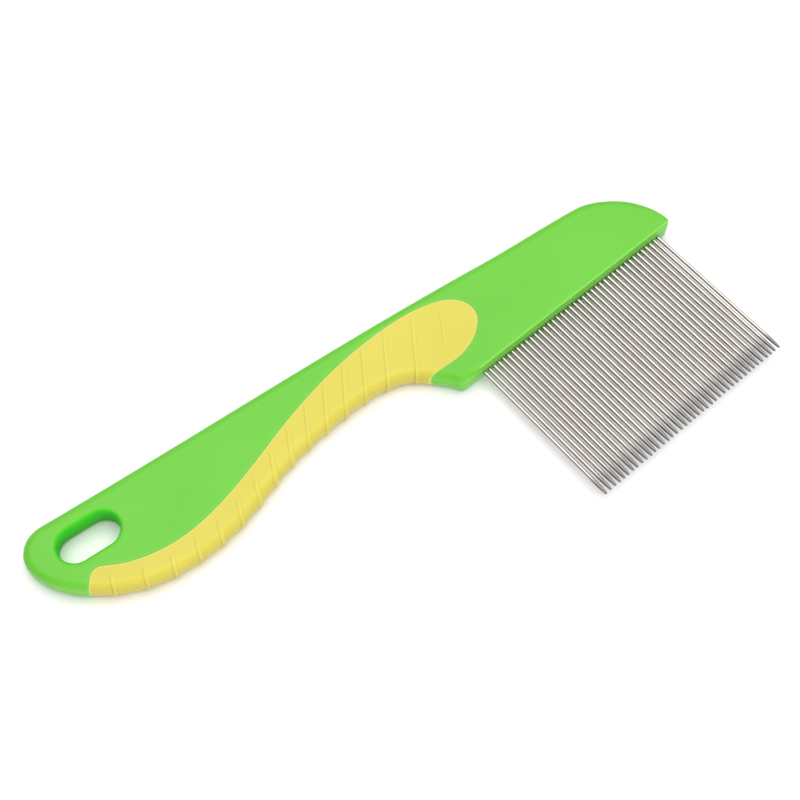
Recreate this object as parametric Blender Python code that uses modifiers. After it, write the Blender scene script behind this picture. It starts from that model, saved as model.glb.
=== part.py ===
"""Flea comb: a flat plastic handle and head, a soft grip around its lower edge, and a row of steel pins.

Run with: blender --background --python part.py

The comb lies flat. +X runs along the tooth row from the tail of the handle to the head, the teeth point
along -Y, and +Z is up through the thickness. Every piece is modelled in millimetres about the datum, a
point on the first tooth's axis just inside the tooth wall, and hangs on one empty there.
"""

import math

import bmesh
import bpy
from mathutils import Matrix, Vector
from mathutils.geometry import interpolate_bezier

MM = 0.001

# Overall sizes, in millimetres. Cutters run past what they cut by the overshoot.
LENGTH = 195.0
TAIL_REACH = 124.0
SPINE_REACH = 38.92
THICKNESS = 7.2
OVERSHOOT = 1.0

# The tooth row. A taper point is (share of the taper's length from the tip, share of the pin's radius).
TOOTH_COUNT = 41
TOOTH_PITCH = 1.65
TOOTH_REACH = 47.0
TOOTH_ROOT = 8.7
TOOTH_RADIUS = 0.525
TOOTH_SIDES = 12
TIP_TAPER = 3.6
TIP_SHOULDER = (0.5, 0.88)
TIP_NOSE = (0.05, 0.5)
SOCKET_CLEARANCE = 0.1
SOCKET_EXTRA_DEPTH = 0.3

# Rounding of the plastic's edges, and the draft of its side walls. The tooth wall's rounding holds for a
# distance past the row, then blends into the handle's.
HANDLE_ROUND = 2.4
WALL_ROUND = 0.9
ROUND_HOLD = 5.0
ROUND_BLEND = 12.0
DRAFT = math.tan(math.radians(3.0))
ROUND_STEPS = 4
BEZIER_STEPS = 8

# The hanging slot near the tail.
SLOT_CENTRE = (-107.8, 28.4)
SLOT_LENGTH = 16.8
SLOT_WIDTH = 9.4
SLOT_TILT = math.radians(-5.5)
SLOT_ROUND = 1.2
SLOT_ARC_STEPS = 10

# The grip, its ribs, and the web of hard plastic that it wraps. A rib runs from its tail, outside the
# handle's lower edge, to its reach inside it. The ribs are evenly pitched, except that a bulge moves those
# of its span towards the head, and a shift moves those from the lobe on, with the last one set back. They
# lean in plan by one angle up to one rib and by another from a later rib on.
GRIP_DEPTH = 1.4
GRIP_EDGE = 1.6
GRIP_SINK = 0.15
GRIP_FORE_X = -12.0
WEB_END = ((20.0, -5.0), (20.0, 40.0))
RIB_COUNT = 16
LOBE_RIB = 14
RIB_FIRST_X = -111.0
RIB_PITCH = 6.8
RIB_BULGE = 1.1
RIB_BULGE_SPAN = 10.5
RIB_LOBE_SHIFT = 0.5
LAST_RIB_BACK = 1.2
RIB_LEAN_TAIL = math.radians(63.0)
RIB_LEAN_HEAD = math.radians(53.5)
RIB_LEAN_FROM = 5
RIB_LEAN_TO = 11
RIB_WIDTH = 1.2
RIB_HEIGHT = 0.4
RIB_MARGIN = 1.8
RIB_TAIL = 3.0
RIB_REACH = 24.0
GAP = 0.3

# Each anchor of a closed outline: x, y, heading in degrees, handle length behind, handle length ahead.
BODY_ANCHORS = (
    (-6.0, -0.35, 0, 1.2, 20.0),
    (69.8, -0.35, 0, 20.0, 0.65),
    (71.0, 0.85, 90, 0.65, 4.55),
    (66.5, 13.0, 132, 4.0, 4.0),
    (54.0, 20.5, 171, 5.0, 8.0),
    (20.0, 24.4, 172, 12.0, 45.0),
    (-115.0, 38.9, 173.5, 50.0, 6.0),
    (-124.0, 31.5, 272, 3.5, 5.0),
    (-118.0, 19.0, 315, 4.0, 9.8),
    (-88.0, 6.4, 358, 14.2, 12.0),
    (-60.0, 11.1, 13.5, 8.4, 10.0),
    (-31.0, 13.7, 0, 9.0, 8.6),
    (-14.6, 8.6, 312, 2.8, 2.0),
    (-8.4, 1.4, 298, 2.5, 1.0),
)
GRIP_ANCHORS = (
    (-16.0, 6.8, 0, 2.0, 4.0),
    (-4.0, 6.0, 2, 4.0, 4.0),
    (6.0, 9.3, 38, 3.0, 2.0),
    (9.6, 15.2, 92, 3.0, 3.5),
    (3.0, 22.8, 160, 4.0, 8.0),
    (-20.0, 25.6, 181, 8.0, 12.0),
    (-55.0, 19.8, 196, 10.0, 10.0),
    (-88.0, 13.1, 180, 11.0, 10.0),
    (-107.5, 18.4, 146, 3.0, 1.5),
    (-111.5, 20.4, 180, 1.5, 1.0),
    (-114.0, 19.2, 225, 1.0, 2.0),
    (-121.0, 12.2, 225, 2.0, 4.0),
    (-110.0, 0.0, 0, 4.0, 20.0),
    (-22.0, 0.0, 0, 20.0, 3.0),
)

LIME = (0.227, 0.698, 0.102, 1.0)
YELLOW = (0.855, 0.752, 0.141, 1.0)
STEEL = (0.62, 0.61, 0.60, 1.0)
SMOOTH_BELOW = math.radians(35.0)


def clear_scene():
    for obj in list(bpy.data.objects):
        bpy.data.objects.remove(obj, do_unlink=True)


def new_collection(name):
    collection = bpy.data.collections.new(name)
    bpy.context.scene.collection.children.link(collection)
    return collection


def principled(name, color, roughness, metallic=0.0):
    material = bpy.data.materials.new(name)
    material.use_nodes = True
    shader = material.node_tree.nodes["Principled BSDF"]
    shader.inputs["Base Color"].default_value = color
    shader.inputs["Roughness"].default_value = roughness
    shader.inputs["Metallic"].default_value = metallic
    return material


def outline(anchors):
    """The closed loop of points that the anchors' Bezier segments pass through."""
    loop = []
    for here, there in zip(anchors, anchors[1:] + anchors[:1]):
        start = Vector(here[:2])
        end = Vector(there[:2])
        leaving = Vector((math.cos(math.radians(here[2])), math.sin(math.radians(here[2]))))
        arriving = Vector((math.cos(math.radians(there[2])), math.sin(math.radians(there[2]))))
        ahead = start + leaving * here[4]
        behind = end - arriving * there[3]
        points = interpolate_bezier(start, ahead, behind, end, BEZIER_STEPS + 1)
        loop.extend(Vector(point[:2]) for point in points[:-1])
    return loop


def stadium(centre, length, width, tilt):
    """A slot's outline: two half circles joined by straight sides."""
    radius = width / 2
    turn = Matrix.Rotation(tilt, 2)
    loop = []
    for end, first in ((1, -90), (-1, 90)):
        for step in range(SLOT_ARC_STEPS + 1):
            angle = math.radians(first + 180 * step / SLOT_ARC_STEPS)
            around = radius * Vector((math.cos(angle), math.sin(angle)))
            point = Vector((end * (length / 2 - radius), 0)) + around
            loop.append(Vector(centre) + turn @ point)
    return loop


def inset(loop, amounts):
    """The loop moved towards its inside, by one amount per point. A loop runs counter-clockwise."""
    moved = []
    for i, point in enumerate(loop):
        along = loop[(i + 1) % len(loop)] - loop[i - 1]
        inward = Vector((-along.y, along.x)).normalized()
        moved.append(point + inward * amounts[i])
    return moved


def loft(name, rings, collection):
    """A closed solid through rings of equally many points, each point (x, y, z), from the lowest ring up."""
    bm = bmesh.new()
    rows = [[bm.verts.new(Vector(point) * MM) for point in ring] for ring in rings]
    count = len(rings[0])
    for lower, upper in zip(rows, rows[1:]):
        for i in range(count):
            j = (i + 1) % count
            bm.faces.new((lower[i], lower[j], upper[j], upper[i]))
    bm.faces.new(list(reversed(rows[0])))
    bm.faces.new(rows[-1])
    mesh = bpy.data.meshes.new(name)
    bm.to_mesh(mesh)
    bm.free()
    obj = bpy.data.objects.new(name, mesh)
    collection.objects.link(obj)
    return obj


def at_height(loop, heights):
    return [(point.x, point.y, height) for point, height in zip(loop, heights)]


def prism(name, loop, half_height, collection):
    rings = [at_height(loop, [z] * len(loop)) for z in (-half_height, half_height)]
    return loft(name, rings, collection)


def smooth(value, low, high):
    """0 below low, 1 above high, and a smooth step between them."""
    share = min(max((value - low) / (high - low), 0.0), 1.0)
    return share * share * (3 - 2 * share)


def edge_round(point):
    """The edge rounding at a point of the outline: small along the tooth wall, full well away from it."""
    row_length = (TOOTH_COUNT - 1) * TOOTH_PITCH
    nearest = Vector((min(max(point.x, 0.0), row_length), 0.0))
    share = smooth((point - nearest).length, ROUND_HOLD, ROUND_HOLD + ROUND_BLEND)
    return WALL_ROUND + (HANDLE_ROUND - WALL_ROUND) * share


def pillow(name, loop, half_height, rounds, collection):
    """A slab with drafted sides that meet at mid-thickness and with rounded edges on both faces."""
    upper = []
    for step in range(ROUND_STEPS + 1):
        angle = math.pi / 2 * step / ROUND_STEPS
        side_tops = [half_height - r for r in rounds]
        shrink = [DRAFT * top + r * (1 - math.cos(angle)) for top, r in zip(side_tops, rounds)]
        heights = [top + r * math.sin(angle) for top, r in zip(side_tops, rounds)]
        upper.append(at_height(inset(loop, shrink), heights))
    lower = [[(x, y, -z) for x, y, z in ring] for ring in reversed(upper)]
    middle = at_height(loop, [0.0] * len(loop))
    return loft(name, lower + [middle] + upper, collection)


def slot_cutter(collection):
    """The hanging slot, which flares into a rounded rim at both faces."""
    loop = stadium(SLOT_CENTRE, SLOT_LENGTH, SLOT_WIDTH, SLOT_TILT)
    side_top = THICKNESS / 2 - SLOT_ROUND
    upper = []
    for step in range(ROUND_STEPS):
        angle = math.pi / 2 * step / ROUND_STEPS
        grow = SLOT_ROUND * (1 - math.cos(angle))
        height = side_top + SLOT_ROUND * math.sin(angle)
        upper.append(at_height(inset(loop, [-grow] * len(loop)), [height] * len(loop)))
    rise = THICKNESS / 2 + OVERSHOOT - height
    past = grow + rise * math.tan(angle)
    upper.append(at_height(inset(loop, [-past] * len(loop)), [height + rise] * len(loop)))
    lower = [[(x, y, -z) for x, y, z in ring] for ring in reversed(upper)]
    return loft("slot_cutter", lower + upper, collection)


def socket_cutter(collection):
    """One cylinder for each tooth, from inside the head to just outside the tooth wall."""
    inner = TOOTH_ROOT + SOCKET_EXTRA_DEPTH
    outer = -OVERSHOOT
    bm = bmesh.new()
    for index in range(TOOTH_COUNT):
        centre = Vector((index * TOOTH_PITCH, (inner + outer) / 2, 0.0)) * MM
        place = Matrix.Translation(centre) @ Matrix.Rotation(math.pi / 2, 4, "X")
        radius = (TOOTH_RADIUS + SOCKET_CLEARANCE) * MM
        bmesh.ops.create_cone(
            bm,
            cap_ends=True,
            segments=TOOTH_SIDES,
            radius1=radius,
            radius2=radius,
            depth=(inner - outer) * MM,
            matrix=place,
        )
    mesh = bpy.data.meshes.new("socket_cutter")
    bm.to_mesh(mesh)
    bm.free()
    obj = bpy.data.objects.new("socket_cutter", mesh)
    collection.objects.link(obj)
    return obj


def rib_feet(body_loop):
    """Where the ribs leave the handle's lower edge."""
    tail = min(range(len(body_loop)), key=lambda i: body_loop[i].x)
    lower_edge = body_loop[tail:]
    feet = []
    for index in range(RIB_COUNT):
        x = RIB_FIRST_X + index * RIB_PITCH
        x += RIB_BULGE * max(math.sin(math.pi * index / RIB_BULGE_SPAN), 0.0)
        if index >= LOBE_RIB:
            x += RIB_LOBE_SHIFT
        if index == RIB_COUNT - 1:
            x -= LAST_RIB_BACK
        ahead = next(i for i, point in enumerate(lower_edge) if point.x > x)
        behind = lower_edge[ahead - 1]
        share = (x - behind.x) / (lower_edge[ahead].x - behind.x)
        feet.append(behind.lerp(lower_edge[ahead], share))
    return feet


def rib_slabs(collection, feet):
    """Upright slabs across the grip, one for each rib. They lean over further towards the head."""
    bm = bmesh.new()
    size = Vector((RIB_REACH + RIB_TAIL, RIB_WIDTH, 2 * THICKNESS)) * MM
    for index, foot in enumerate(feet):
        head_share = smooth(index, RIB_LEAN_FROM, RIB_LEAN_TO)
        lean = RIB_LEAN_TAIL + (RIB_LEAN_HEAD - RIB_LEAN_TAIL) * head_share
        way = Vector((math.cos(lean), math.sin(lean)))
        centre = foot + way * (RIB_REACH - RIB_TAIL) / 2
        place = Matrix.Translation(centre.to_3d() * MM) @ Matrix.Rotation(lean, 4, "Z")
        bmesh.ops.create_cube(bm, size=1.0, matrix=place @ Matrix.Diagonal(size.to_4d()))
    mesh = bpy.data.meshes.new("rib_slabs")
    bm.to_mesh(mesh)
    bm.free()
    obj = bpy.data.objects.new("rib_slabs", mesh)
    collection.objects.link(obj)
    return obj


def boolean(obj, operation, other):
    modifier = obj.modifiers.new(other.name, "BOOLEAN")
    modifier.operation = operation
    modifier.object = other
    modifier.solver = "EXACT"


def settle(obj):
    """Replaces an object's mesh with its evaluated one, so that a later Boolean can use it."""
    bpy.context.view_layer.update()
    evaluated = obj.evaluated_get(bpy.context.evaluated_depsgraph_get())
    mesh = bpy.data.meshes.new_from_object(evaluated)
    obj.modifiers.clear()
    obj.data = mesh
    return obj


def web_outline(body_loop, edge_depth):
    """The edge of the web inside the grip: the handle's edge moved in, and closed well past the head."""
    inner = inset(body_loop, [edge_depth] * len(body_loop))
    start = next(i for i, point in enumerate(body_loop) if point.x < GRIP_FORE_X)
    end = next(i for i, point in enumerate(body_loop) if i > start and point.x > GRIP_FORE_X)
    return inner[start:end] + [Vector(corner) for corner in WEB_END]


def build_handle_body(parts, cutters, body_loop, grip_loop, rounds):
    """The one-piece handle and head, with a pocket around the web for the grip, a slot and tooth sockets."""
    web = prism("web", web_outline(body_loop, GRIP_EDGE), THICKNESS / 2 - GRIP_DEPTH, cutters)
    pocket = prism("grip_pocket", grip_loop, THICKNESS, cutters)
    boolean(pocket, "DIFFERENCE", web)
    settle(pocket)
    body = pillow("handle_body", body_loop, THICKNESS / 2, rounds, parts)
    boolean(body, "DIFFERENCE", pocket)
    boolean(body, "DIFFERENCE", slot_cutter(cutters))
    boolean(body, "DIFFERENCE", socket_cutter(cutters))
    return body


def build_grip(parts, cutters, body_loop, grip_loop, rounds):
    """The soft grip: it wraps the web's faces and edge, with ribs that stand proud around the edge."""
    web_half = THICKNESS / 2 - GRIP_DEPTH + GAP
    web_clear = prism("web_clearance", web_outline(body_loop, GRIP_EDGE - GAP), web_half, cutters)
    ribs = pillow(
        "rib_envelope",
        inset(body_loop, [-RIB_HEIGHT] * len(body_loop)),
        THICKNESS / 2,
        [r + GRIP_SINK for r in rounds],
        cutters,
    )
    rib_area = prism("rib_area", inset(grip_loop, [RIB_MARGIN] * len(grip_loop)), THICKNESS, cutters)
    boolean(ribs, "INTERSECT", rib_slabs(cutters, rib_feet(body_loop)))
    settle(ribs)
    boolean(ribs, "INTERSECT", rib_area)
    settle(ribs)
    grip_area = prism("grip_area", inset(grip_loop, [GAP] * len(grip_loop)), THICKNESS, cutters)
    grip = pillow("grip", body_loop, THICKNESS / 2 - GRIP_SINK, rounds, parts)
    boolean(grip, "INTERSECT", grip_area)
    boolean(grip, "UNION", ribs)
    boolean(grip, "DIFFERENCE", web_clear)
    return grip


def tooth_mesh(cutters):
    """One pin, turned about Z: a plain shank up to its root end, and a long blunt taper down to its tip."""
    tip = -TOOTH_REACH
    profile = (
        (0.0, TOOTH_ROOT),
        (TOOTH_RADIUS, TOOTH_ROOT),
        (TOOTH_RADIUS, tip + TIP_TAPER),
        (TOOTH_RADIUS * TIP_SHOULDER[1], tip + TIP_TAPER * TIP_SHOULDER[0]),
        (TOOTH_RADIUS * TIP_NOSE[1], tip + TIP_TAPER * TIP_NOSE[0]),
        (0.0, tip),
    )
    bm = bmesh.new()
    verts = [bm.verts.new((radius * MM, 0.0, height * MM)) for radius, height in profile]
    for start, end in zip(verts, verts[1:]):
        bm.edges.new((start, end))
    mesh = bpy.data.meshes.new("tooth_profile")
    bm.to_mesh(mesh)
    bm.free()
    turned = bpy.data.objects.new("tooth_profile", mesh)
    cutters.objects.link(turned)
    screw = turned.modifiers.new("turn", "SCREW")
    screw.axis = "Z"
    screw.steps = TOOTH_SIDES
    screw.render_steps = TOOTH_SIDES
    screw.use_merge_vertices = True
    screw.merge_threshold = 0.00001
    settle(turned)
    # The pin is turned upright, then laid down so that its tip points along -Y.
    turned.data.transform(Matrix.Rotation(-math.pi / 2, 4, "X"))
    return turned.data


def build_teeth(parts, cutters, steel):
    mesh = tooth_mesh(cutters)
    mesh.materials.append(steel)
    mesh.shade_smooth()
    mesh.set_sharp_from_angle(angle=SMOOTH_BELOW)
    teeth = []
    for index in range(TOOTH_COUNT):
        tooth = bpy.data.objects.new(f"tooth_{index + 1:02d}", mesh)
        tooth.location = (index * TOOTH_PITCH * MM, 0.0, 0.0)
        parts.objects.link(tooth)
        teeth.append(tooth)
    return teeth


def finish_plastic(obj, material):
    settle(obj)
    obj.data.materials.clear()
    obj.data.materials.append(material)
    obj.data.shade_smooth()
    obj.data.set_sharp_from_angle(angle=SMOOTH_BELOW)


def main():
    clear_scene()
    parts = new_collection("flea_comb")
    cutters = new_collection("cutters")

    body_loop = outline(BODY_ANCHORS)
    grip_loop = outline(GRIP_ANCHORS)
    rounds = [edge_round(point) for point in body_loop]

    body = build_handle_body(parts, cutters, body_loop, grip_loop, rounds)
    finish_plastic(body, principled("lime_plastic", LIME, 0.38))
    grip = build_grip(parts, cutters, body_loop, grip_loop, rounds)
    finish_plastic(grip, principled("yellow_rubber", YELLOW, 0.55))
    teeth = build_teeth(parts, cutters, principled("stainless_steel", STEEL, 0.25, 1.0))

    for cutter in cutters.objects:
        cutter.hide_render = True
        cutter.display_type = "WIRE"

    datum = bpy.data.objects.new("datum", None)
    datum.location = Vector((
        TAIL_REACH - LENGTH / 2,
        TOOTH_REACH - (TOOTH_REACH + SPINE_REACH) / 2,
        THICKNESS / 2,
    )) * MM
    parts.objects.link(datum)
    for piece in [body, grip, *teeth]:
        piece.parent = datum


main()
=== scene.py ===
import math
import random

import bpy
from mathutils import Matrix, Vector
from mathutils.geometry import delaunay_2d_cdt, interpolate_bezier
from mathutils.kdtree import KDTree


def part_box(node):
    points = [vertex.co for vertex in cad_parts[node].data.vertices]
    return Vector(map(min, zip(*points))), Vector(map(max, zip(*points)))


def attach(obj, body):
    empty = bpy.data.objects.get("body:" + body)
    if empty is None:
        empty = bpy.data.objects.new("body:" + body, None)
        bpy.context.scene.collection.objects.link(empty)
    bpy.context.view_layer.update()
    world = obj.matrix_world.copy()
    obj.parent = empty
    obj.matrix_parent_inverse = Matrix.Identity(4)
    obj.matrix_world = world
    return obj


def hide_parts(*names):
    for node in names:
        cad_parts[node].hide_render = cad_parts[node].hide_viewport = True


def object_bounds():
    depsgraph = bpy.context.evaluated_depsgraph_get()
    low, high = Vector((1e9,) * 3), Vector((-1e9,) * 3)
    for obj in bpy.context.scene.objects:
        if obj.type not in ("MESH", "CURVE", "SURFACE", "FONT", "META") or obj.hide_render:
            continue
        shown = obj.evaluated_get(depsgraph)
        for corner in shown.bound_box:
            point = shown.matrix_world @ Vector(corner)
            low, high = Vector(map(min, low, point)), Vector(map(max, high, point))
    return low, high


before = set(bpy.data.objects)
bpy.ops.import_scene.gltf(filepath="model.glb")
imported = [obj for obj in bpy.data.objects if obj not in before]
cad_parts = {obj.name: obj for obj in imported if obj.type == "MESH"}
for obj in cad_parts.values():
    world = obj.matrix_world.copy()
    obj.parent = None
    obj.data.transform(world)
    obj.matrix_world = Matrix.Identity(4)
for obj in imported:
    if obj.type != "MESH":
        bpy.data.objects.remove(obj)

CAD_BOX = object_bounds()
MM = 0.001

# The pins. A tip tapers to a share of the pin's radius and ends in a short rounded nose. The ground finish
# begins at one distance from the tip and is whole at a smaller one. The extra rings keep its edge soft. No
# pin is bent aside or up by more than PIN_BEND, or shorter by more than PIN_SHORTER.
PIN_COUNT = 41
PIN_PITCH = 1.65
PIN_REACH = 47.0
PIN_ROOT = 8.7
PIN_RADIUS = 0.525
PIN_SIDES = 20
TIP_TAPER = 3.6
TIP_BLUNT = 0.60
TIP_NOSE = 0.26
TIP_STEPS = 12
NOSE_STEPS = 4
GROUND_FROM = 7.0
GROUND_WHOLE = 3.5
SHANK_RINGS = tuple(-4.0 * i for i in range(1, 10))
GROUND_RINGS = (6.0, 5.3)
PIN_BEND = (0.16, 0.12)
PIN_SHORTER = 0.1
PIN_SEED = 41

# The plastic and its edge rounding. The tooth wall's rounding holds past the last pin, to the far corner, and
# grows into the handle's elsewhere. The sides lean, with one more line part of the way up.
THICKNESS = 7.2
HANDLE_ROUND = 2.4
WALL_ROUND = 0.9
ROUND_HOLD = 5.0
ROUND_BLEND = 12.0
SIDE_LEAN = math.radians(4.0)
ROUND_STEPS = 9
SIDE_LINE = 0.3
SHARP_ABOVE = math.radians(50)

# The plan mesh: how fine its outlines and rings are, the lines beside a rounded edge, the grids that fill
# the faces between them, and how far a grid stays from the edge, the joint and the slot.
FINE_STEP = 0.1
RING_STRIDE = 4
RING_TOLERANCE = 0.02
SUPPORT = 0.5
JOINT_PAST_EDGE = 0.6
FACE_GRID = 2.2
GRIP_GRID = 1.0
GRID_ROW = 0.866
GRID_LOW = Vector((-124.0, 0.0))
GRID_HIGH = Vector((72.0, 40.0))
GRID_INSIDE = 1.6
FACE_OFF_GRIP = 1.8
FACE_OFF_SLOT = 2.4
TINY = 1e-6

# A point this close to the outline is on it. A face point is at least this far from mid-thickness.
ON_OUTLINE = 0.004
LEAST_HEIGHT = 0.02

# Where the colour marks lie. The lighter colour grows up to a height, the tooth wall's painted highlight lies
# between two levels, and the painted shade at the slot fades out between two shares of its rounding.
LIGHTER_HEIGHT = 1.2
HIGHLIGHT_ROUND = 0.15
HIGHLIGHT_RISE = (0.4, 0.6)
HIGHLIGHT_FALL = (0.8, 0.93)
SLOT_SHADE_FALL = (0.25, 0.75)
BODY_LIP_FINISH = 0.7
GRIP_LIP_FINISH = 0.75
BEAD_RISE = (0.1, 1.0)

# The hanging slot.
SLOT_CENTRE = (-107.8, 28.4)
SLOT_LENGTH = 16.8
SLOT_WIDTH = 9.4
SLOT_TILT = math.radians(-5.5)
SLOT_ROUND = 1.2
SLOT_STEPS = 6

# The joint between plastic and grip: a narrow gap with a rounded lip on either side.
JOINT_GAP = 0.004
BODY_LIP = 0.10
BODY_LIP_STEPS = 3
GRIP_LIP = 0.15
GRIP_LIP_STEPS = 4
GRIP_SINK = 0.12

# The ribs: rounded beads that cross the grip's face and run down its side, with painted shade along both
# feet.
# They start a little outside the handle's edge. The rib numbers count from the tail.
RIB_COUNT = 16
LOBE_RIB = 14
RIB_FIRST_X = -111.0
RIB_PITCH = 6.8
RIB_BULGE = 1.1
RIB_BULGE_SPAN = 10.5
RIB_LOBE_SHIFT = 0.5
LAST_RIB_BACK = 1.2
RIB_LEAN_TAIL = math.radians(63.0)
RIB_LEAN_HEAD = math.radians(53.5)
RIB_LEAN_SPAN = (5, 11)
RIB_HALF = 0.64
RIB_LONGEST = 30.0
RIB_LENGTH_STEP = 0.2
RIB_OUTSIDE = 2.0
RIB_LINE_STEP = 0.8
RIB_LINES = (0.55, 0.66, 0.77, 0.88, 1.0, 1.3)
FORE_FOOT_SHADE = 0.4
RIB_FACE = 0.12
RIB_SIDE = 0.42

# Across a rib, in half widths: where its bead falls away, and where the painted shade at its feet rises and
# dies.
BEAD_FALL = (0.55, 1.0)
FOOT_SHADE_RISE = (0.7, 0.95)
FOOT_SHADE_FALL = (1.0, 1.3)

# Along a rib, in shares of its length: where it ends, how much later it ends past a span of ribs, and how
# long it fades before that. The last rib, on the lobe, is fainter and shows along part of its length only.
RIB_END = 0.66
RIB_END_LATER = 0.3
RIB_END_SPAN = (4, 10)
RIB_FADE = 0.16
LAST_RIB_STRENGTH = 0.8
LAST_RIB_RISE = (0.34, 0.46)
LAST_RIB_FALL = (0.8, 0.9)

# Each anchor of a closed outline: x, y, heading in degrees, handle length behind, handle length ahead.
BODY_ANCHORS = (
    (-6.0, -0.35, 0, 1.2, 20.0),
    (69.8, -0.35, 0, 20.0, 0.65),
    (71.0, 0.85, 90, 0.65, 4.55),
    (66.5, 13.0, 132, 4.0, 4.0),
    (54.0, 20.5, 171, 5.0, 8.0),
    (20.0, 24.4, 172, 12.0, 45.0),
    (-115.0, 38.9, 173.5, 50.0, 6.0),
    (-124.0, 31.5, 272, 3.5, 5.0),
    (-118.0, 19.0, 315, 4.0, 9.8),
    (-88.0, 6.4, 358, 14.2, 12.0),
    (-60.0, 11.1, 13.5, 8.4, 10.0),
    (-31.0, 13.7, 0, 9.0, 8.6),
    (-14.6, 8.6, 312, 2.8, 2.0),
    (-8.4, 1.4, 298, 2.5, 1.0),
)
GRIP_ANCHORS = (
    (-16.0, 6.8, 0, 2.0, 4.0),
    (-4.0, 6.0, 2, 4.0, 4.0),
    (6.0, 9.3, 38, 3.0, 2.0),
    (9.6, 15.2, 92, 3.0, 3.5),
    (3.0, 22.8, 160, 4.0, 8.0),
    (-20.0, 25.6, 181, 8.0, 12.0),
    (-55.0, 19.8, 196, 10.0, 10.0),
    (-88.0, 13.1, 180, 11.0, 10.0),
    (-107.5, 18.4, 146, 3.0, 1.5),
    (-111.5, 20.4, 180, 1.5, 1.0),
    (-114.0, 19.2, 225, 1.0, 2.0),
    (-121.0, 12.2, 225, 2.0, 4.0),
    (-110.0, 0.0, 0, 4.0, 20.0),
    (-22.0, 0.0, 0, 20.0, 3.0),
)

# The camera: where it stands, what it looks at, and how far it is rolled.
CAMERA_AT = Vector((-0.11925, -0.11640, 0.35466))
CAMERA_AIM = Vector((0.00388, 0.01185, 0.00360))
CAMERA_ROLL = math.radians(2.95)
CAMERA_LENS = 67.09

# The studio's walls: pale in the middle, dim to the left and right. The pale part reaches this share of the
# way across, from the middle to each side.
WORLD_STRENGTH = 0.50
WORLD_PALE = (0.93, 0.95, 1.0, 1.0)
WORLD_LEFT = (0.24, 0.19, 0.15, 1.0)
WORLD_RIGHT = (0.17, 0.18, 0.24, 1.0)
WORLD_OPEN = 0.26

# Each area light: where it stands, what it faces, its two sides, its power and its colour.
SOFTBOX = ((0.12, 0.15, 0.90), (0.02, 0.0, 0.0), (1.2, 1.2), 11.2, (1.0, 0.97, 0.93))
FRONT = ((-0.25, -1.0, 0.30), (0.0, 0.0, 0.0), (1.6, 0.5), 8.5, (1.0, 0.99, 0.97))

# The table: half its width, the rings of its soft edge as (further out, up), and its gap under the comb.
TABLE_HALF = 3.0
TABLE_SIDES = 24
TABLE_EDGE = ((0.0, 0.0), (0.02, -0.01), (0.03, -0.03), (0.03, -0.06))
TABLE_GAP = 0.0001

# Colours of the plastic, the rubber, the steel and the table, in linear light.
LIME_DEEP = (0.114, 0.472, 0.027)
LIME_PALE = (0.129, 0.496, 0.036)
# A lighter colour for the sides and rounded edges.
LIME_LIGHTER = (0.20, 0.56, 0.08)
# Painted highlight along the rounded top edge of the tooth wall.
LIME_PAINTED_HIGHLIGHT = (0.30, 0.72, 0.15)
LIME_LIP = (0.25, 0.54, 0.09)
# Painted shade: a purer green for the slot's rim and wall.
LIME_SLOT_SHADE = (0.035, 0.560, 0.010)
RUBBER_DEEP = (0.570, 0.500, 0.052)
RUBBER_PALE = (0.597, 0.532, 0.069)
# Painted shade for the grip's sides.
RUBBER_SIDE_SHADE = (0.500, 0.425, 0.050)
# A lighter colour for the ribs.
RUBBER_LIGHTER = (0.71, 0.62, 0.15)
# Painted shade along the feet of the ribs.
RUBBER_FOOT_SHADE = (0.46, 0.34, 0.02)
RUBBER_LIP = (0.52, 0.66, 0.21)
STEEL_DEEP = (0.430, 0.400, 0.375)
STEEL_PALE = (0.480, 0.455, 0.425)
STEEL_GROUND = (0.235, 0.23, 0.225)
TABLE_DEEP = (0.895, 0.897, 0.905)
TABLE_PALE = (0.910, 0.911, 0.915)


# ---------------------------------------------------------------- outlines

def bezier_loop(anchors, step):
    """The closed loop of points through the anchors' Bezier segments, about a step apart."""
    loop = []
    for here, there in zip(anchors, anchors[1:] + anchors[:1]):
        start = Vector(here[:2])
        end = Vector(there[:2])
        leaving = Vector((math.cos(math.radians(here[2])), math.sin(math.radians(here[2]))))
        arriving = Vector((math.cos(math.radians(there[2])), math.sin(math.radians(there[2]))))
        count = max(4, math.ceil((end - start).length / step))
        ahead = start + leaving * here[4]
        behind = end - arriving * there[3]
        points = interpolate_bezier(start, ahead, behind, end, count + 1)
        loop.extend(Vector(point[:2]) for point in points[:-1])
    return loop


def stadium(centre, length, width, tilt, step):
    """A slot's outline: two half circles joined by straight sides."""
    radius = width / 2
    reach = length / 2 - radius
    turn = Matrix.Rotation(tilt, 2)
    loop = []
    arc = math.ceil(math.pi * radius / step)
    side = math.ceil(2 * reach / step)
    for end, first in ((1, -90), (-1, 90)):
        for i in range(arc):
            angle = math.radians(first + 180 * i / arc)
            around = Vector((math.cos(angle), math.sin(angle))) * radius
            loop.append(Vector(centre) + turn @ (Vector((end * reach, 0)) + around))
        for i in range(side):
            along = end * (reach - 2 * reach * i / side)
            loop.append(Vector(centre) + turn @ Vector((along, end * radius)))
    return loop


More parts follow.
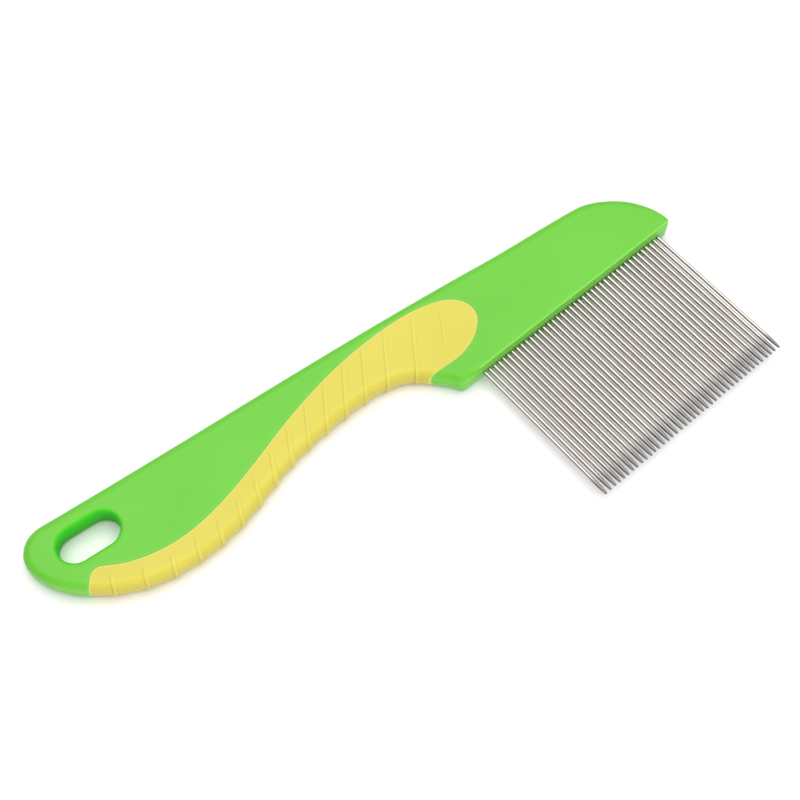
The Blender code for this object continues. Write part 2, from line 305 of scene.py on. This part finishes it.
class Loop:
    """A closed counter-clockwise outline that tells how deep inside it a point lies."""

    def __init__(self, points):
        self.points = points
        self.tree = KDTree(len(points))
        for i, point in enumerate(points):
            self.tree.insert(point.to_3d(), i)
        self.tree.balance()

    def nearest(self, point):
        """The depth of a point, the nearest point on the outline, and the way out of the outline there."""
        count = len(self.points)
        _, i, _ = self.tree.find((point.x, point.y, 0.0))
        best = None
        for a, b in (((i - 1) % count, i), (i, (i + 1) % count)):
            start = self.points[a]
            along = self.points[b] - start
            share = min(max((point - start).dot(along) / along.length_squared, 0.0), 1.0)
            foot = start + along * share
            gap = (point - foot).length
            if best is None or gap < best[0]:
                best = (gap, foot, along)
        gap, foot, _ = best
        along = self.points[(i + 1) % count] - self.points[i - 1]
        outward = Vector((along.y, -along.x)).normalized()
        depth = -math.copysign(gap, (point - foot).dot(outward))
        return depth, foot, outward

    def depth(self, point):
        return self.nearest(point)[0]

    def ring(self, amount, stride):
        """The outline moved inwards by an amount, or by amount(point). A point that would fold is None."""
        moved = []
        for i in range(0, len(self.points), stride):
            point = self.points[i]
            along = self.points[(i + 1) % len(self.points)] - self.points[i - 1]
            inward = Vector((-along.y, along.x)).normalized()
            size = amount(point) if callable(amount) else amount
            at = point + inward * size
            whole = abs(self.depth(at) - size) < RING_TOLERANCE
            moved.append(at if whole else None)
        return moved


BODY = Loop(bezier_loop(BODY_ANCHORS, FINE_STEP))
GRIP = Loop(bezier_loop(GRIP_ANCHORS, FINE_STEP))
SLOT = Loop(stadium(SLOT_CENTRE, SLOT_LENGTH, SLOT_WIDTH, SLOT_TILT, FINE_STEP))


# ---------------------------------------------------------------- surface heights

def smooth(value, low, high):
    """0 below low, 1 above high, and a smooth step between them."""
    share = min(max((value - low) / (high - low), 0.0), 1.0)
    return share * share * (3 - 2 * share)


def edge_round(point):
    """The edge rounding at a point of the outline: small along the tooth wall, full well away from it."""
    held = (PIN_COUNT - 1) * PIN_PITCH + ROUND_HOLD
    nearest = Vector((min(max(point.x, 0.0), held), 0.0))
    share = smooth((point - nearest).length, 0.0, ROUND_BLEND)
    return WALL_ROUND + (HANDLE_ROUND - WALL_ROUND) * share


def side_lean(radius, half=THICKNESS / 2):
    """How far a side has leant inwards, barrel-shaped, by the time its rounded edge starts."""
    return (half - radius * (1 - math.sin(SIDE_LEAN))) * math.tan(SIDE_LEAN) / 1.5


def rim(depth, radius, half):
    """Height of the barrelled side and rounded edge at a depth inside the outline, and how level it is."""
    side_top = half - radius * (1 - math.sin(SIDE_LEAN))
    lean = side_lean(radius, half)
    if depth <= lean:
        return side_top * (max(depth, 0.0) / lean) ** (2 / 3), 0.0
    across = radius * math.cos(SIDE_LEAN) - (depth - lean)
    if across <= 0:
        return half, 1.0
    up = math.sqrt(radius * radius - across * across) / radius
    return side_top + radius * (up - math.sin(SIDE_LEAN)), up


def lip_drop(depth, radius):
    """How far a rounded lip has fallen at a depth inside its own boundary."""
    if depth >= radius:
        return 0.0
    across = radius - max(depth, 0.0)
    return radius - math.sqrt(radius * radius - across * across)


def rib_feet():
    """Where the ribs leave the handle's lower edge."""
    tail = min(range(len(BODY.points)), key=lambda i: BODY.points[i].x)
    lower_edge = BODY.points[tail:]
    feet = []
    for index in range(RIB_COUNT):
        x = RIB_FIRST_X + index * RIB_PITCH
        x += RIB_BULGE * max(math.sin(math.pi * index / RIB_BULGE_SPAN), 0.0)
        if index >= LOBE_RIB:
            x += RIB_LOBE_SHIFT
        if index == RIB_COUNT - 1:
            x -= LAST_RIB_BACK
        feet.append(next(point for point in lower_edge if point.x > x))
    return feet


def rib_ways():
    """Each rib's direction in plan. The ribs lean over further towards the head."""
    ways = []
    for index in range(RIB_COUNT):
        lean = RIB_LEAN_TAIL + (RIB_LEAN_HEAD - RIB_LEAN_TAIL) * smooth(index, *RIB_LEAN_SPAN)
        ways.append(Vector((math.cos(lean), math.sin(lean))))
    return ways


def rib_lengths(feet, ways):
    """How far each rib goes from the handle's edge before it reaches the grip's boundary."""
    lengths = []
    for foot, way in zip(feet, ways):
        reach = RIB_LONGEST
        while GRIP.depth(foot + way * reach) < 0.0:
            reach -= RIB_LENGTH_STEP
        lengths.append(reach)
    return lengths


RIB_FEET = rib_feet()
RIB_WAYS = rib_ways()
RIB_LENGTHS = rib_lengths(RIB_FEET, RIB_WAYS)


def rib_height(point):
    """A rib's height and the painted shade at its feet at a plan point, as shares: a bead that dies away
    towards the boundary.
    """
    for index, (foot, way) in enumerate(zip(RIB_FEET, RIB_WAYS)):
        offset = point - foot
        side = offset.dot(Vector((-way.y, way.x))) / RIB_HALF
        across = abs(side)
        if across >= FOOT_SHADE_FALL[1]:
            continue
        share = offset.dot(way) / RIB_LENGTHS[index]
        end = RIB_END + RIB_END_LATER * smooth(index, *RIB_END_SPAN)
        fade = 1.0 - smooth(share, end - RIB_FADE, end)
        if index == RIB_COUNT - 1:
            fade = LAST_RIB_STRENGTH * smooth(share, *LAST_RIB_RISE) * (1.0 - smooth(share, *LAST_RIB_FALL))
        if fade > 0.0:
            # Painted shade along both feet of the rib, weaker on its fore side.
            foot_shade = smooth(across, *FOOT_SHADE_RISE) * (1.0 - smooth(across, *FOOT_SHADE_FALL))
            if side < 0.0:
                foot_shade *= FORE_FOOT_SHADE
            return fade * (1.0 - smooth(across, *BEAD_FALL)), fade * foot_shade
    return 0.0, 0.0


# ---------------------------------------------------------------- the plan mesh

class Plan:
    """Points and lines in plan, cut into triangles that meet along every line."""

    def __init__(self):
        self.points = []
        self.edges = []

    def line(self, points, closed=False):
        """Adds a line through the points. A missing point is skipped."""
        kept = [point for point in points if point is not None]
        first = len(self.points)
        self.points.extend(kept)
        last = first + len(kept) - 1
        self.edges.extend((i, i + 1) for i in range(first, last))
        if closed:
            self.edges.append((last, first))

    def grid(self, spacing, low, high, wanted):
        """Adds the wanted points of a grid of equal triangles."""
        rows = math.ceil((high.y - low.y) / (spacing * GRID_ROW))
        columns = math.ceil((high.x - low.x) / spacing)
        for row in range(rows):
            for column in range(columns):
                x = low.x + (column + 0.5 * (row % 2)) * spacing
                point = Vector((x, low.y + row * spacing * GRID_ROW))
                if wanted(point):
                    self.points.append(point)

    def triangles(self):
        found = delaunay_2d_cdt(self.points, self.edges, [], 0, TINY, False)
        return [Vector(point) for point in found[0]], [tuple(face) for face in found[2]]


def quarter_steps(radius, steps):
    """How far in the rings of a quarter-round edge lie."""
    return [radius * (1 - math.cos(math.pi / 2 * step / steps)) for step in range(steps + 1)]


def runs_near(points, loop, reach):
    """Splits a closed ring into the runs of points that lie inside a loop or within reach of it."""
    runs = [[]]
    for point in points + points[:1]:
        if point is not None and loop.depth(point) > -reach:
            runs[-1].append(point)
        elif runs[-1]:
            runs.append([])
    return [run for run in runs if len(run) > 1]


def plan_mesh():
    """Triangles in plan for the whole comb, with lines wherever its height bends."""
    plan = Plan()
    plan.line(BODY.ring(0.0, RING_STRIDE), closed=True)

    def rim_depth(point, turn, more=0.0):
        radius = edge_round(point)
        return side_lean(radius) + radius * (math.cos(SIDE_LEAN) - math.cos(turn)) + more

    plan.line(BODY.ring(lambda point: SIDE_LINE * side_lean(edge_round(point)), RING_STRIDE), closed=True)
    for step in range(ROUND_STEPS + 1):
        turn = SIDE_LEAN + (math.pi / 2 - SIDE_LEAN) * step / ROUND_STEPS
        plan.line(BODY.ring(lambda point: rim_depth(point, turn), RING_STRIDE), closed=True)
    plan.line(BODY.ring(lambda point: rim_depth(point, math.pi / 2, SUPPORT), RING_STRIDE * 2), closed=True)

    joint = [-JOINT_GAP - step for step in quarter_steps(BODY_LIP, BODY_LIP_STEPS)]
    joint += [JOINT_GAP + step for step in quarter_steps(GRIP_LIP, GRIP_LIP_STEPS)]
    joint += [-JOINT_GAP - BODY_LIP - SUPPORT, JOINT_GAP + GRIP_LIP + SUPPORT]
    for amount in joint:
        for run in runs_near(GRIP.ring(amount, RING_STRIDE), BODY, JOINT_PAST_EDGE):
            plan.line(run)

    for amount in quarter_steps(SLOT_ROUND, SLOT_STEPS) + [SLOT_ROUND + SUPPORT]:
        plan.line(SLOT.ring(-amount, RING_STRIDE), closed=True)

    for foot, way, length in zip(RIB_FEET, RIB_WAYS, RIB_LENGTHS):
        for offset in RIB_LINES + tuple(-line for line in RIB_LINES) + (0.0,):
            base = foot + Vector((-way.y, way.x)) * RIB_HALF * offset
            whole = length + RIB_OUTSIDE
            count = math.ceil(whole / RIB_LINE_STEP)
            plan.line([base + way * (-RIB_OUTSIDE + whole * i / count) for i in range(count + 1)])

    inner = HANDLE_ROUND + GRID_INSIDE

    def on_face(point):
        off_grip = GRIP.depth(point) < -FACE_OFF_GRIP
        return BODY.depth(point) > inner and off_grip and SLOT.depth(point) < -FACE_OFF_SLOT

    def on_grip(point):
        in_grip = GRIP.depth(point) > GRID_INSIDE
        return BODY.depth(point) > inner and in_grip and max(rib_height(point)) == 0.0

    plan.grid(FACE_GRID, GRID_LOW, GRID_HIGH, on_face)
    plan.grid(GRIP_GRID, GRID_LOW, GRID_HIGH, on_grip)
    return plan.triangles()


def build_piece(name, points, faces, shape):
    """A closed solid, the same above and below mid-thickness. shape(point) gives (position, attributes)."""
    used = sorted({i for face in faces for i in face})
    verts = []
    upper = {}
    lower = {}
    values = {}
    for i in used:
        place, extra = shape(points[i])
        upper[i] = len(verts)
        verts.append(place)
        lower[i] = upper[i]
        rows = [extra]
        if place.z > TINY:
            lower[i] = len(verts)
            verts.append(Vector((place.x, place.y, -place.z)))
            rows.append(extra)
        for extra_row in rows:
            for key, value in extra_row.items():
                values.setdefault(key, []).append(value)
    polygons = []
    edges = {}
    for face in faces:
        polygons.append([upper[i] for i in face])
        if len({lower[i] for i in face}) == 3:
            polygons.append([lower[i] for i in reversed(face)])
        for a, b in zip(face, face[1:] + face[:1]):
            edges[(a, b)] = edges.get((a, b), 0) + 1
    for a, b in edges:
        if (b, a) in edges:
            continue
        wall = [upper[a], lower[a], lower[b], upper[b]]
        corners = [corner for k, corner in enumerate(wall) if corner != wall[k - 1]]
        if len(corners) > 2:
            polygons.append(corners)
    mesh = bpy.data.meshes.new(name)
    scaled = [tuple(DATUM + vert * MM) for vert in verts]
    mesh.from_pydata(scaled, [], polygons)
    mesh.validate()
    for key, row in values.items():
        layer = mesh.attributes.new(key, "FLOAT", "POINT")
        layer.data.foreach_set("value", row)
    mesh.shade_smooth()
    mesh.set_sharp_from_angle(angle=SHARP_ABOVE)
    obj = bpy.data.objects.new(name, mesh)
    bpy.context.scene.collection.objects.link(obj)
    return obj


def body_shape(point):
    """The handle's surface over a plan point, and the colour marks there, painted highlight and painted shade
    among them.
    """
    depth, foot, _ = BODY.nearest(point)
    depth = 0.0 if depth < ON_OUTLINE else depth
    radius = edge_round(foot)
    height, level = rim(depth, radius, THICKNESS / 2)
    joint = -GRIP.depth(point) - JOINT_GAP
    slot = -SLOT.depth(point)
    drop = lip_drop(joint, BODY_LIP) + lip_drop(slot, SLOT_ROUND)
    if depth > 0.0:
        height = max(height - drop, LEAST_HEIGHT)
    lip = 1.0 - smooth(joint, 0.0, BODY_LIP_FINISH)
    # Lighter and smoother on the sides and rounded edges, growing to full at a height above mid-thickness.
    lighter = (1.0 - level) * min(height / LIGHTER_HEIGHT, 1.0)
    # Painted highlight: a pale line along the rounded top edge of the tooth wall, where light catches it.
    highlight_by_row = 1.0 - smooth(radius, WALL_ROUND, WALL_ROUND + HIGHLIGHT_ROUND)
    line = highlight_by_row * smooth(level, *HIGHLIGHT_RISE) * (1.0 - smooth(level, *HIGHLIGHT_FALL))
    # Painted shade: the slot's rim and wall take a purer green, standing in for the shade inside the slot.
    slot_shade = 1.0 - smooth(slot, SLOT_SHADE_FALL[0] * SLOT_ROUND, SLOT_SHADE_FALL[1] * SLOT_ROUND)
    extra = {"lip": lip, "lighter": lighter, "slot_shade": slot_shade, "line": line}
    return Vector((point.x, point.y, height)), extra


def grip_shape(point):
    """The grip's surface over a plan point, and the colour marks there, painted shade among them."""
    depth, foot, outward = BODY.nearest(point)
    depth = 0.0 if depth < ON_OUTLINE else depth
    radius = edge_round(foot)
    height, level = rim(depth, radius, THICKNESS / 2 - GRIP_SINK)
    joint = GRIP.depth(point) - JOINT_GAP
    bead, foot_shade = (share * smooth(joint, *BEAD_RISE) for share in rib_height(point))
    if depth > 0.0:
        height = max(height - lip_drop(joint, GRIP_LIP), LEAST_HEIGHT)
    sideways = math.sqrt(max(1.0 - level * level, 0.0)) * RIB_SIDE * bead
    flat = point + outward * sideways
    height += level * RIB_FACE * bead
    lip = 1.0 - smooth(joint, 0.0, GRIP_LIP_FINISH)
    # Painted shade: the side value darkens the grip's sides against its face.
    extra = {"lip": lip, "lighter": bead, "foot_shade": foot_shade, "side": 1.0 - level}
    return Vector((flat.x, flat.y, height)), extra


def inside(points, face):
    """A triangle's middle, and its depth in the handle's outline, the grip's and the slot's."""
    middle = (points[face[0]] + points[face[1]] + points[face[2]]) / 3
    return BODY.depth(middle), GRIP.depth(middle), SLOT.depth(middle)


def build_plastic():
    """The handle and the grip, cut from one plan mesh so that their edges run side by side."""
    points, faces = plan_mesh()
    body_faces = []
    grip_faces = []
    for face in faces:
        body, grip, slot = inside(points, face)
        if body <= 0.0 or slot >= 0.0:
            continue
        if grip <= -JOINT_GAP:
            body_faces.append(face)
        elif grip >= JOINT_GAP:
            grip_faces.append(face)
    handle = build_piece("comb_handle", points, body_faces, body_shape)
    grip = build_piece("comb_grip", points, grip_faces, grip_shape)
    return handle, grip


# ---------------------------------------------------------------- the pins

def pin_profile():
    """Radius, place along a pin from its root in the head to its tip, and the share of ground finish."""
    places = [(0.0, PIN_ROOT), (PIN_RADIUS, PIN_ROOT), (PIN_RADIUS, 0.0)]
    places += [(PIN_RADIUS, along) for along in SHANK_RINGS]
    places += [(PIN_RADIUS, -PIN_REACH + left) for left in (GROUND_FROM, *GROUND_RINGS)]
    for i in range(TIP_STEPS + 1):
        share = i / TIP_STEPS
        radius = PIN_RADIUS * (1.0 - (1.0 - TIP_BLUNT) * share ** 2)
        places.append((radius, -PIN_REACH + TIP_NOSE + (TIP_TAPER - TIP_NOSE) * (1 - share)))
    for i in range(1, NOSE_STEPS + 1):
        angle = math.pi / 2 * i / NOSE_STEPS
        radius = PIN_RADIUS * TIP_BLUNT * max(math.cos(angle), 0.0)
        places.append((radius, -PIN_REACH + TIP_NOSE * (1 - math.sin(angle))))
    rows = []
    for radius, along in places:
        rows.append((radius, along, 1.0 - smooth(along + PIN_REACH, GROUND_WHOLE, GROUND_FROM)))
    return rows


def build_pin(index, rows, chance):
    """One pin as turned rings, very slightly bent and turned so that no two are quite alike."""
    node = f"tooth_{index + 1:02d}"
    low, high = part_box(node)
    middle = (Vector(low) + Vector(high)) / 2
    root = Vector((middle.x, DATUM.y, middle.z))
    aside = chance.uniform(-PIN_BEND[0], PIN_BEND[0])
    drift = Vector((aside, 0.0, chance.uniform(-PIN_BEND[1], PIN_BEND[1])))
    shorter = chance.uniform(0.0, PIN_SHORTER)
    spin = chance.uniform(0.0, math.tau)
    verts = []
    ground = []
    rings = []
    for radius, along, finish in rows:
        reach = max(-along, 0.0) / PIN_REACH
        centre = Vector((0.0, along + shorter * reach, 0.0)) + drift * reach * reach
        if radius < TINY:
            rings.append([len(verts)])
            verts.append(centre)
            ground.append(finish)
            continue
        ring = []
        for side in range(PIN_SIDES):
            angle = spin + math.tau * side / PIN_SIDES
            ring.append(len(verts))
            verts.append(centre + Vector((math.cos(angle), 0.0, math.sin(angle))) * radius)
            ground.append(finish)
        rings.append(ring)
    polygons = []
    for above, below in zip(rings, rings[1:]):
        for side in range(PIN_SIDES):
            after = (side + 1) % PIN_SIDES
            corners = [above[side % len(above)], above[after % len(above)]]
            corners += [below[after % len(below)], below[side % len(below)]]
            polygons.append(list(dict.fromkeys(corners)))
    mesh = bpy.data.meshes.new(f"pin_{index + 1:02d}")
    mesh.from_pydata([tuple(root + vert * MM) for vert in verts], [], polygons)
    layer = mesh.attributes.new("ground", "FLOAT", "POINT")
    layer.data.foreach_set("value", ground)
    mesh.shade_smooth()
    mesh.set_sharp_from_angle(angle=SHARP_ABOVE)
    obj = bpy.data.objects.new(f"pin_{index + 1:02d}", mesh)
    bpy.context.scene.collection.objects.link(obj)
    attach(obj, "root")
    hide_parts(node)
    return obj


# ---------------------------------------------------------------- materials

class Nodes:
    """Builds one node material around its Principled shader."""

    def __init__(self, name):
        self.material = bpy.data.materials.new(name)
        self.material.use_nodes = True
        self.tree = self.material.node_tree
        self.shader = self.tree.nodes["Principled BSDF"]

    def add(self, kind, **settings):
        node = self.tree.nodes.new(kind)
        for key, value in settings.items():
            setattr(node, key, value)
        return node

    def link(self, source, target):
        self.tree.links.new(source, target)

    def place(self):
        return self.add("ShaderNodeTexCoord").outputs["Object"]

    def stretched(self, scale):
        mapping = self.add("ShaderNodeMapping")
        mapping.inputs["Scale"].default_value = scale
        self.link(self.place(), mapping.inputs["Vector"])
        return mapping.outputs["Vector"]

    def noise(self, vector, scale, detail=3.0, roughness=0.5):
        node = self.add("ShaderNodeTexNoise")
        node.inputs["Scale"].default_value = scale
        node.inputs["Detail"].default_value = detail
        node.inputs["Roughness"].default_value = roughness
        self.link(vector, node.inputs["Vector"])
        return node.outputs["Fac"]

    def ramp(self, value, low, high, out_low, out_high):
        node = self.add("ShaderNodeMapRange")
        node.inputs["From Min"].default_value = low
        node.inputs["From Max"].default_value = high
        node.inputs["To Min"].default_value = out_low
        node.inputs["To Max"].default_value = out_high
        self.link(value, node.inputs["Value"])
        return node.outputs["Result"]

    def mix(self, factor, first, second):
        node = self.add("ShaderNodeMix", data_type="RGBA")
        self.link(factor, node.inputs["Factor"])
        for socket, colour in ((node.inputs[6], first), (node.inputs[7], second)):
            if isinstance(colour, tuple):
                socket.default_value = (*colour, 1.0)
            else:
                self.link(colour, socket)
        return node.outputs[2]

    def math(self, operation, first, second):
        node = self.add("ShaderNodeMath", operation=operation)
        for socket, value in ((node.inputs[0], first), (node.inputs[1], second)):
            if isinstance(value, (int, float)):
                socket.default_value = value
            else:
                self.link(value, socket)
        return node.outputs[0]

    def attribute(self, name):
        return self.add("ShaderNodeAttribute", attribute_name=name).outputs["Fac"]

    def bump(self, height, distance, strength, below=None):
        node = self.add("ShaderNodeBump")
        node.inputs["Distance"].default_value = distance
        node.inputs["Strength"].default_value = strength
        self.link(height, node.inputs["Height"])
        if below is not None:
            self.link(below, node.inputs["Normal"])
        return node.outputs["Normal"]

    def finish(self, colour, roughness, normal):
        self.link(colour, self.shader.inputs["Base Color"])
        self.link(roughness, self.shader.inputs["Roughness"])
        self.link(normal, self.shader.inputs["Normal"])
        return self.material


def lime_plastic():
    make = Nodes("lime_plastic_visual")
    place = make.place()
    cloud = make.ramp(make.noise(place, 22.0, 2.0), 0.35, 0.65, 0.0, 1.0)
    colour = make.mix(cloud, LIME_DEEP, LIME_PALE)
    # Lighter on the sides and rounded edges.
    colour = make.mix(make.math("MULTIPLY", make.attribute("lighter"), 0.35), colour, LIME_LIGHTER)
    # Painted highlight along the rounded top edge of the tooth wall.
    colour = make.mix(make.math("MULTIPLY", make.attribute("line"), 0.55), colour, LIME_PAINTED_HIGHLIGHT)
    colour = make.mix(make.math("MULTIPLY", make.attribute("lip"), 0.3), colour, LIME_LIP)
    # Painted shade: a purer green on the slot's rim and wall, standing in for the shade inside the slot.
    colour = make.mix(make.math("MULTIPLY", make.attribute("slot_shade"), 0.9), colour, LIME_SLOT_SHADE)
    speck = make.ramp(make.noise(place, 900.0, 2.0), 0.3, 0.7, 0.0, 1.0)
    rough = make.math("ADD", make.ramp(speck, 0.0, 1.0, 0.36, 0.44), make.ramp(cloud, 0.0, 1.0, -0.02, 0.03))
    rough = make.math("SUBTRACT", rough, make.math("MULTIPLY", make.attribute("lighter"), 0.08))
    rough = make.math("ADD", rough, make.math("MULTIPLY", make.attribute("slot_shade"), 0.25))
    grain = make.bump(make.noise(place, 3200.0, 3.0, 0.6), 0.00002, 0.35)
    normal = make.bump(make.noise(place, 60.0, 1.0), 0.00004, 0.25, grain)
    make.shader.inputs["Subsurface Weight"].default_value = 0.12
    make.shader.inputs["Subsurface Radius"].default_value = (0.0010, 0.0016, 0.0006)
    make.shader.inputs["Subsurface Scale"].default_value = 1.0
    make.shader.inputs["IOR"].default_value = 1.49
    make.shader.inputs["Specular IOR Level"].default_value = 0.3
    return make.finish(colour, rough, normal)


def yellow_rubber():
    make = Nodes("yellow_rubber_visual")
    place = make.place()
    cloud = make.ramp(make.noise(place, 30.0, 3.0), 0.35, 0.65, 0.0, 1.0)
    colour = make.mix(cloud, RUBBER_DEEP, RUBBER_PALE)
    # Painted shade: the grip's sides are darker than its face.
    colour = make.mix(make.attribute("side"), colour, RUBBER_SIDE_SHADE)
    # A little lighter on the ribs.
    colour = make.mix(make.math("MULTIPLY", make.attribute("lighter"), 0.12), colour, RUBBER_LIGHTER)
    # Painted shade along the feet of the ribs.
    colour = make.mix(make.math("MULTIPLY", make.attribute("foot_shade"), 0.26), colour, RUBBER_FOOT_SHADE)
    edge = make.ramp(make.attribute("lip"), 0.25, 0.7, 0.0, 0.6)
    colour = make.mix(edge, colour, RUBBER_LIP)
    speck = make.ramp(make.noise(place, 1400.0, 2.0), 0.3, 0.7, 0.0, 1.0)
    rough = make.math("ADD", make.ramp(speck, 0.0, 1.0, 0.50, 0.62), make.ramp(cloud, 0.0, 1.0, -0.03, 0.03))
    grain = make.bump(make.noise(place, 2600.0, 3.0, 0.65), 0.00003, 0.5)
    normal = make.bump(make.noise(place, 240.0, 2.0), 0.00003, 0.3, grain)
    make.shader.inputs["Subsurface Weight"].default_value = 0.10
    make.shader.inputs["Subsurface Radius"].default_value = (0.0014, 0.0011, 0.0004)
    make.shader.inputs["Subsurface Scale"].default_value = 1.0
    make.shader.inputs["Sheen Weight"].default_value = 0.08
    return make.finish(colour, rough, normal)


def stainless_steel():
    make = Nodes("stainless_steel_visual")
    place = make.place()
    streak = make.noise(make.stretched((1.0, 0.02, 1.0)), 9000.0, 2.0)
    cloud = make.ramp(make.noise(place, 120.0, 2.0), 0.35, 0.65, 0.0, 1.0)
    ground = make.attribute("ground")
    bright = make.mix(cloud, STEEL_DEEP, STEEL_PALE)
    colour = make.mix(ground, bright, STEEL_GROUND)
    drawn = make.ramp(streak, 0.3, 0.7, 0.08, 0.14)
    rough = make.math("ADD", drawn, make.math("MULTIPLY", ground, 0.28))
    normal = make.bump(streak, 0.000004, 0.4)
    make.shader.inputs["Metallic"].default_value = 1.0
    return make.finish(colour, rough, normal)


def white_table():
    make = Nodes("white_table")
    place = make.place()
    cloud = make.noise(place, 6.0, 2.0)
    colour = make.mix(cloud, TABLE_DEEP, TABLE_PALE)
    rough = make.ramp(cloud, 0.3, 0.7, 0.55, 0.65)
    normal = make.bump(make.noise(place, 700.0, 2.0), 0.00002, 0.2)
    return make.finish(colour, rough, normal)


# ---------------------------------------------------------------- table, light and camera

def build_table(height):
    """A large table top with a soft edge."""
    count = TABLE_SIDES
    verts = []
    for further, up in TABLE_EDGE:
        size = TABLE_HALF + further
        for i in range(count):
            angle = math.tau * i / count
            verts.append((size * math.cos(angle), size * math.sin(angle), height + up))
    polygons = [list(range(count))]
    last = len(TABLE_EDGE) - 1
    for ring in range(last):
        above = ring * count
        below = above + count
        for i in range(count):
            after = (i + 1) % count
            polygons.append([above + i, below + i, below + after, above + after])
    polygons.append(list(reversed(range(last * count, (last + 1) * count))))
    mesh = bpy.data.meshes.new("table")
    mesh.from_pydata(verts, [], polygons)
    obj = bpy.data.objects.new("table", mesh)
    bpy.context.scene.collection.objects.link(obj)
    mesh.materials.append(white_table())


def area_light(name, at, aim, size, power, colour):
    light = bpy.data.lights.new(name, "AREA")
    light.shape = "RECTANGLE"
    light.size = size[0]
    light.size_y = size[1]
    light.energy = power
    light.color = colour
    obj = bpy.data.objects.new(name, light)
    obj.location = at
    obj.rotation_euler = (Vector(aim) - Vector(at)).to_track_quat("-Z", "Y").to_euler()
    bpy.context.scene.collection.objects.link(obj)
    return obj


def build_world():
    """A pale studio with a dim, slightly warm wall to the left and a dim, slightly cool one to the right."""
    world = bpy.data.worlds.new("studio")
    world.use_nodes = True
    tree = world.node_tree
    split = tree.nodes.new("ShaderNodeSeparateXYZ")
    tree.links.new(tree.nodes.new("ShaderNodeTexCoord").outputs["Generated"], split.inputs["Vector"])
    ramp = tree.nodes.new("ShaderNodeValToRGB")
    ramp.color_ramp.interpolation = "EASE"
    bands = ramp.color_ramp.elements
    bands[0].color = WORLD_LEFT
    bands[1].color = WORLD_RIGHT
    for place in (0.5 - WORLD_OPEN, 0.5 + WORLD_OPEN):
        bands.new(place).color = WORLD_PALE
    half = tree.nodes.new("ShaderNodeMapRange")
    half.inputs["From Min"].default_value = -1.0
    tree.links.new(split.outputs["X"], half.inputs["Value"])
    tree.links.new(half.outputs["Result"], ramp.inputs["Fac"])
    back = tree.nodes["Background"]
    tree.links.new(ramp.outputs["Color"], back.inputs["Color"])
    back.inputs["Strength"].default_value = WORLD_STRENGTH
    bpy.context.scene.world = world


def build_lights():
    area_light("softbox", *SOFTBOX)
    front = area_light("front", *FRONT)
    front.visible_glossy = False


def build_camera():
    data = bpy.data.cameras.new("camera")
    data.lens = CAMERA_LENS
    data.sensor_width = 36.0
    data.clip_start = 0.01
    data.clip_end = 50.0
    camera = bpy.data.objects.new("camera", data)
    level = (CAMERA_AIM - CAMERA_AT).to_track_quat("-Z", "Y").to_matrix()
    rolled = level @ Matrix.Rotation(CAMERA_ROLL, 3, "Z")
    camera.matrix_world = Matrix.Translation(CAMERA_AT) @ rolled.to_4x4()
    bpy.context.scene.collection.objects.link(camera)
    bpy.context.scene.camera = camera


# ---------------------------------------------------------------- assembly

FIRST_LOW, FIRST_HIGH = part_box("tooth_01")
DATUM = Vector((
    (FIRST_LOW[0] + FIRST_HIGH[0]) / 2,
    FIRST_LOW[1] + PIN_REACH * MM,
    (FIRST_LOW[2] + FIRST_HIGH[2]) / 2,
))

handle, grip = build_plastic()
handle.data.materials.append(lime_plastic())
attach(handle, "root")
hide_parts("handle_body")
grip.data.materials.append(yellow_rubber())
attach(grip, "root")
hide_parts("grip")

steel = stainless_steel()
chance = random.Random(PIN_SEED)
profile = pin_profile()
for pin_index in range(PIN_COUNT):
    pin = build_pin(pin_index, profile, chance)
    pin.data.materials.append(steel)

build_table(CAD_BOX[0][2] - TABLE_GAP)
build_world()
build_lights()
build_camera()
bpy.context.scene.view_settings.view_transform = "Standard"
